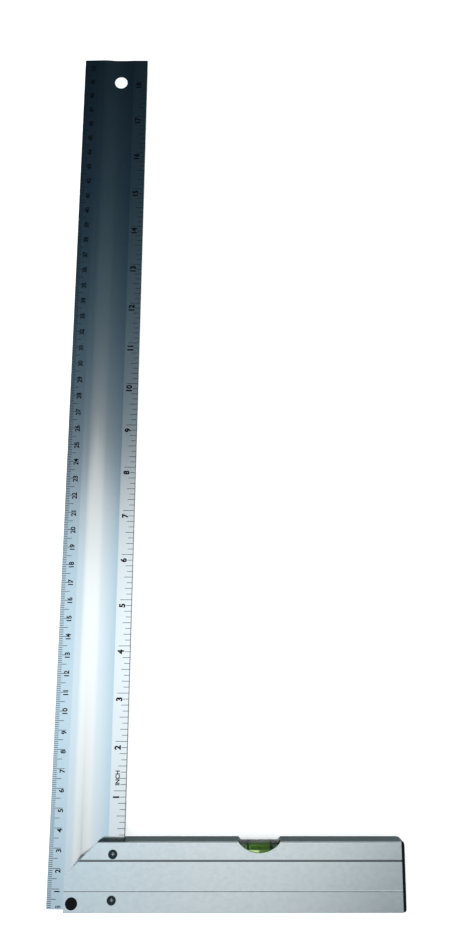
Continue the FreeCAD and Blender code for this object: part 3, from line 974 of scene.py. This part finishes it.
@dataclass
class MetricScale(Scale):
    """The centimetre scale, which starts at the blade's outer end."""

    centimetres: int = 50
    short_tick: float = 2.4 * MM
    middle_tick: float = 5.0 * MM
    long_tick: float = 6.5 * MM
    base_line: float = 6.6 * MM
    digit_height: float = 2.8 * MM
    digit_weight: float = 0.11 * MM
    start_back: float = 2.2 * MM
    unit_place: tuple[float, float] = (6.1 * MM, 0.75 * MM)
    unit_height: float = 1.75 * MM
    unit_weight: float = 0.06 * MM

    def bed(self, x: float) -> Matrix:
        """Lay the print on the band that rises from the metric edge."""
        lift = Matrix.Translation((x, 0, self.section.surface(x)))
        return lift @ Matrix.Rotation(-self.section.metric_slope, 4, "Y")

    def build(self) -> None:
        """Print the ticks and numerals."""
        edge = self.section.low.x
        start = self.section.low.y
        ticks = bmesh.new()
        for count in range(1, 10 * self.centimetres + 1):
            length = self.short_tick
            if count % 10 == 0:
                length = self.long_tick
            elif count % 5 == 0:
                length = self.middle_tick
            self.tick(ticks, edge + length / 2, start + count * MM, length)
        self.close("metric_ticks", ticks, TICK_INK)
        numerals = bmesh.new()
        for count in range(1, self.centimetres + 1):
            y = start + count * 10 * MM - self.start_back
            self.write(
                numerals, str(count), edge + self.base_line, y, self.digit_height, "LEFT",
                self.digit_weight)
        across, along = self.unit_place
        self.write(
            numerals, "cm", edge + across, start + along, self.unit_height, "CENTER",
            self.unit_weight, turn=0.0)
        self.close("metric_numerals", numerals, NUMERAL_INK)


@dataclass
class InchScale(Scale):
    """The inch scale, which starts at the stock's working face."""

    inches: int = 18
    parts: int = 8
    tick_lengths: tuple[float, ...] = (6.6 * MM, 3.2 * MM, 4.2 * MM, 3.2 * MM, 4.8 * MM)
    base_line: float = 3.8 * MM
    digit_height: float = 3.3 * MM
    digit_weight: float = 0.21 * MM
    centre_back: float = 3.2 * MM
    unit_height: float = 2.3 * MM
    unit_weight: float = 0.10 * MM
    unit_shift: float = 6.6 * MM
    start_shift: float = -1.1 * MM

    def bed(self, x: float) -> Matrix:
        """Lay the print on the flat band beside the inch edge."""
        return Matrix.Translation((x, 0, self.section.surface(x)))

    def build(self) -> None:
        """Print the ticks, the numerals and the unit."""
        edge = self.section.high.x
        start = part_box("stock")[1].y + self.start_shift
        ticks = bmesh.new()
        for count in range(1, self.inches * self.parts + 1):
            step = count % self.parts
            length = self.tick_lengths[min(step, self.parts - step)]
            self.tick(ticks, edge - length / 2, start + count * INCH / self.parts, length)
        self.close("inch_ticks", ticks, TICK_INK)
        numerals = bmesh.new()
        for count in range(1, self.inches + 1):
            y = start + count * INCH - self.centre_back
            self.write(
                numerals, str(count), edge - self.base_line, y, self.digit_height, "CENTER",
                self.digit_weight)
        self.write(
            numerals, "INCH", edge - self.base_line, start + INCH + self.unit_shift,
            self.unit_height, "CENTER", self.unit_weight)
        self.close("inch_numerals", numerals, NUMERAL_INK)


@dataclass
class Stock:
    """The drawn stock with its cap, packers, screws, nuts and plug."""

    def build(self) -> None:
        """Dress the frame's own pieces."""
        for node, finish in (
                ("stock", STOCK_METAL), ("end_cap", BLACK_PLASTIC), ("packer_front", PACKER_METAL),
                ("packer_rear", PACKER_METAL), ("corner_plug", BLACK_PLASTIC),
                ("upper_screw", SCREW_STEEL), ("lower_screw", SCREW_STEEL),
                ("upper_nut", SCREW_STEEL), ("lower_nut", SCREW_STEEL)):
            finish.dress(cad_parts[node])
            log.info("%s: dressed", node)


@dataclass
class Vial:
    """The level vial: barrel, liquid with its bubble, rings, plug and cradle."""

    facets: int = 64
    edge_round: float = 0.35 * MM
    crown: float = 0.15 * MM
    bubble_length: float = 9.6 * MM
    bubble_width: float = 3.6 * MM
    bubble_flatness: float = 0.55
    bubble_sink: float = 0.62
    bubble_drift: float = -0.6 * MM
    edge_steps: int = 4
    crown_steps: int = 6
    low: Vector = field(default_factory=lambda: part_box("vial_barrel")[0])
    high: Vector = field(default_factory=lambda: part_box("vial_barrel")[1])

    @property
    def middle(self) -> Vector:
        """The barrel's middle."""
        return (self.low + self.high) / 2

    def build(self) -> None:
        """Spin the barrel, the liquid and the bubble, and dress the rest."""
        self.barrel()
        self.liquid()
        for node, finish in (
                ("vial_plug", INNER_ACRYLIC), ("vial_ring_left", BLACK_PLASTIC),
                ("vial_ring_right", BLACK_PLASTIC), ("vial_holder", BLACK_PLASTIC)):
            finish.dress(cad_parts[node])
            log.info("%s: dressed", node)

    def turned(self, profile: list[tuple[float, float]], centre: Vector) -> Shape:
        """Spin a profile about an axis that runs along X.

        Args:
            profile: Places along the axis and radii, from one end to the other.
            centre: The point on the axis that the places are measured from.

        Returns:
            The closed mesh.
        """
        shape = bmesh.new()
        corners = [shape.verts.new(centre + Vector((x, radius, 0.0))) for x, radius in profile]
        for first, second in zip(corners, corners[1:]):
            shape.edges.new((first, second))
        bmesh.ops.spin(
            shape, geom=list(shape.verts) + list(shape.edges), cent=centre, axis=(1.0, 0.0, 0.0),
            angle=math.tau, steps=self.facets, use_merge=True)
        bmesh.ops.remove_doubles(shape, verts=list(shape.verts), dist=SPIN_MERGE)
        bmesh.ops.recalc_face_normals(shape, faces=list(shape.faces))
        return shape

    def barrel(self) -> None:
        """Make the clear barrel with its rounded ends."""
        half = (self.high.x - self.low.x) / 2
        radius = (self.high.z - self.low.z) / 2
        rounded = []
        for step in range(self.edge_steps + 1):
            turn = step * math.pi / 2 / self.edge_steps
            out = half - self.edge_round + self.edge_round * math.sin(turn)
            rounded.append((out, radius - self.edge_round + self.edge_round * math.cos(turn)))
        profile = [(-half, 0.0)] + [(-x, r) for x, r in reversed(rounded)] + rounded + [(half, 0.0)]
        made = Maker.piece("vial_tube", self.turned(profile, self.middle), ACRYLIC)
        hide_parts("vial_barrel")
        log.info("vial_tube: %d faces", len(made.data.polygons))

    def liquid(self) -> None:
        """Make the crowned liquid and the bubble that lies under its front side."""
        low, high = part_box("vial_liquid")
        half = (high.x - low.x) / 2
        radius = (high.y - low.y) / 2
        centre = Vector(((low.x + high.x) / 2, self.middle.y, self.middle.z))
        profile = [(-half, 0.0)]
        for step in range(2 * self.crown_steps + 1):
            share = step / self.crown_steps - 1
            profile.append((share * half, radius - self.crown * share * share))
        profile.append((half, 0.0))
        made = Maker.piece("vial_fill", self.turned(profile, centre), LIQUID)
        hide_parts("vial_liquid")
        shape = bmesh.new()
        bmesh.ops.create_uvsphere(shape, u_segments=48, v_segments=24, radius=0.5)
        depth = self.bubble_flatness * self.bubble_width
        size = Matrix.Diagonal((self.bubble_length, self.bubble_width, depth, 1.0))
        height = radius - self.crown - self.bubble_sink * depth
        lift = Matrix.Translation(centre + Vector((self.bubble_drift, 0.0, height)))
        bmesh.ops.transform(shape, matrix=lift @ size, verts=list(shape.verts))
        Maker.piece("vial_bubble", shape, BUBBLE)
        log.info("vial_fill: %d faces", len(made.data.polygons))


@dataclass
class Studio:
    """The floor, the lights and the camera."""

    focal_pixels: float = 905.75
    picture_height: float = 940.0
    axis_shift: float = 23.66
    tilt: float = 0.2239
    camera_place: Vector = field(default_factory=lambda: Vector((0.08793, 0.10131, 0.52099)))
    sensor: float = 24.0
    floor_side: float = 8.0
    floor_middle: Vector = field(default_factory=lambda: Vector((0.06, 0.2, 0.0)))
    fill_place: Vector = field(default_factory=lambda: Vector((0.06, 0.12, 1.6)))
    fill_side: float = 2.2
    fill_power: float = 26.0
    panel: Colour = (1.16, 1.22, 1.235)
    panel_edge: tuple[float, float] = (12.3, 14.8)
    panel_slope: float = 0.13
    near_shade: tuple[float, ...] = (-19.5, 4.0, 0.58, 0.0)
    near_slope: float = 0.3
    far_shade: tuple[float, ...] = (3.0, 15.0, 0.0, 0.5)
    left_tint: Colour = (0.33, 0.54, 0.69)
    left_range: tuple[float, float] = (-24.0, -2.0)
    right_tint: Colour = (0.33, 0.36, 0.38)
    right_range: tuple[float, float] = (3.0, 11.5)
    right_slope: float = 0.5
    right_pivot: float = 10.0
    dusk: Colour = (0.21, 0.25, 0.275)
    dusk_reach: tuple[float, float, float] = (6.1, 7.8, 8.8)
    dusk_from: float = 15.0
    near_horizon: Colour = (0.78, 0.84, 0.87)
    far_horizon: Colour = (0.24, 0.27, 0.29)

    def build(self) -> None:
        """Lay the floor, hang the lights and set up the camera."""
        self.lay_floor()
        self.light_world()
        self.hang_fill()
        self.set_camera()
        log.info("studio: ready")

    def lay_floor(self) -> None:
        """Lay a wide pale floor under the square."""
        shape = bmesh.new()
        place = Matrix.Translation(self.floor_middle)
        bmesh.ops.create_grid(shape, x_segments=1, y_segments=1, size=self.floor_side / 2, matrix=place)
        mesh = bpy.data.meshes.new("floor")
        shape.to_mesh(mesh)
        shape.free()
        floor = linked("floor", mesh)
        FLOOR_PAPER.dress(floor)

    def light_world(self) -> None:
        """Light the scene with a bright panel overhead that falls off towards all sides."""
        world = bpy.data.worlds.new("studio")
        bpy.context.scene.world = world
        world.use_nodes = True
        graph = Graph(world.node_tree)
        x, y, z = graph.axes(graph.add("TexCoord").outputs["Generated"])
        east = self.degrees(graph, x, z)
        north = self.degrees(graph, y, z)
        overhead = self.overhead(graph, east, north)
        around = graph.blend(graph.ease(y, -0.5, 0.5), self.near_horizon, self.far_horizon)
        backdrop = graph.add("Background")
        graph.join(graph.blend(graph.ease(z, 0.35, 0.75), around, overhead), backdrop.inputs["Color"])
        graph.join(backdrop.outputs["Background"], graph.add("OutputWorld").inputs["Surface"])

    def overhead(self, graph: Graph, east: Socket, north: Socket) -> Socket:
        """Return the light of the panel and of the dusk beyond it, tinted on both sides.

        Args:
            graph: The world's tree.
            east: The lean to the right, in degrees.
            north: The lean away from the camera, in degrees.

        Returns:
            The light's colour.
        """
        far = graph.add("CombineColor")
        for socket, start, reach in zip(far.inputs, self.dusk, self.dusk_reach):
            graph.join(self.fade(graph, north, start, reach), socket)
        lamp = graph.blend(graph.ease(north, *self.far_shade), self.panel, BLACK)
        left_only = graph.math("MINIMUM", east, 0.0)
        slant = graph.minus(north, graph.times(left_only, self.near_slope))
        lamp = graph.blend(graph.ease(slant, *self.near_shade), lamp, BLACK)
        edge = graph.minus(north, graph.times(east, self.panel_slope))
        light = graph.blend(graph.ease(edge, *self.panel_edge), lamp, far.outputs["Color"])
        left = graph.blend(graph.ease(east, *self.left_range), self.left_tint, WHITE)
        rise = graph.times(graph.plus(north, self.right_pivot), self.right_slope)
        right = graph.blend(graph.ease(graph.minus(east, rise), *self.right_range), WHITE, self.right_tint)
        return self.filter(graph, self.filter(graph, light, left), right)

    @staticmethod
    def degrees(graph: Graph, side: Socket, up: Socket) -> Socket:
        """Return how far a direction leans from straight up, in degrees."""
        return graph.times(graph.math("ARCTAN2", side, up), 180.0 / math.pi)

    def fade(self, graph: Graph, north: Socket, start: float, reach: float) -> Socket:
        """Return a brightness that dies away beyond the panel's far edge.

        Args:
            graph: The world's tree.
            north: The lean away from the camera, in degrees.
            start: The brightness where the fading starts.
            reach: The degrees over which it falls to a third.

        Returns:
            The brightness.
        """
        past = graph.times(graph.minus(north, self.dusk_from), -1.0 / reach)
        return graph.times(graph.math("EXPONENT", past), start)

    @staticmethod
    def filter(graph: Graph, light: Socket, tint: Socket) -> Socket:
        """Multiply one colour by another.

        Args:
            graph: The tree.
            light: The one colour.
            tint: The other.

        Returns:
            The product.
        """
        node = graph.add("Mix", data_type="RGBA", blend_type="MULTIPLY")
        return graph.fill(node, Factor=1.0, A=light, B=tint).outputs["Result"]

    def hang_fill(self) -> None:
        """Hang a broad lamp that lights the pale surfaces and leaves no reflection."""
        lamp = bpy.data.lights.new("fill_over", "AREA")
        lamp.shape = "SQUARE"
        lamp.size = self.fill_side
        lamp.energy = self.fill_power
        holder = linked("fill_over", lamp)
        holder.location = self.fill_place
        holder.visible_glossy = False

    def set_camera(self) -> None:
        """Put the camera where the photograph was taken from."""
        lens = bpy.data.cameras.new("camera")
        lens.sensor_fit = "VERTICAL"
        lens.sensor_height = self.sensor
        lens.lens = self.focal_pixels / self.picture_height * self.sensor
        lens.shift_x = -self.axis_shift / self.picture_height
        lens.clip_start = 0.01
        holder = linked("camera", lens)
        holder.location = self.camera_place
        holder.rotation_euler = (self.tilt, 0.0, 0.0)
        bpy.context.scene.camera = holder


def main() -> None:
    """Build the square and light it."""
    logging.basicConfig(level=logging.INFO, format="%(name)s: %(message)s")
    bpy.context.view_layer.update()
    bpy.context.scene.view_settings.view_transform = "Standard"
    for maker in (Blade(), Stock(), Vial(), Studio()):
        maker.build()


if __name__ == "__main__":
    main()
